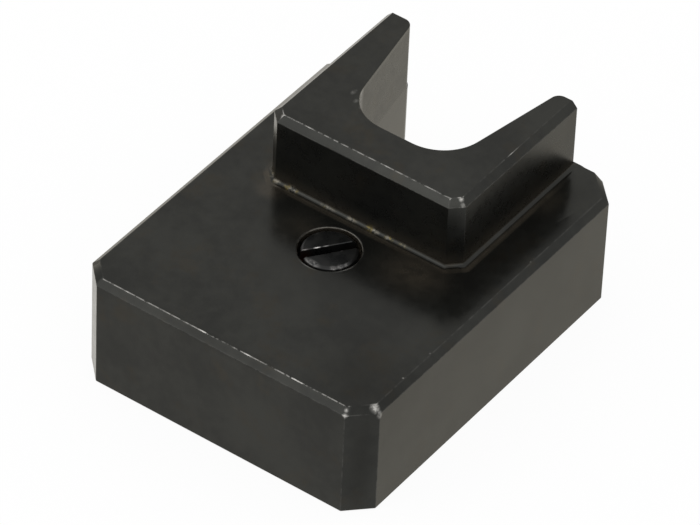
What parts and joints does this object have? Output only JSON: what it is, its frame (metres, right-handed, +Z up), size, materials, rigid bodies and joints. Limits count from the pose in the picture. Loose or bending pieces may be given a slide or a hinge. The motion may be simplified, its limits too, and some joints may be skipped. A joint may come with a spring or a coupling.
{
  "type": "crimping die",
  "caption": "Lower crimping die with a flared slot in a raised boss, blackened steel, held by a sunk slotted screw.",
  "frame": {"origin": "middle of the underside of the base", "axes": "+X runs along the front edge to the right, +Y runs from the front edge to the open end of the slot, +Z points up out of the boss"},
  "size_m": [0.04, 0.05, 0.025],
  "materials": {
    "blackened_steel": "black oxide on milled steel, worn bright along the edges",
    "screw_steel": "black oxide, satin, slightly shinier than the block"
  },
  "bodies": {
    "root": {"die_block": "blackened_steel", "fixing_screw": "screw_steel"}
  },
  "joints": []
}
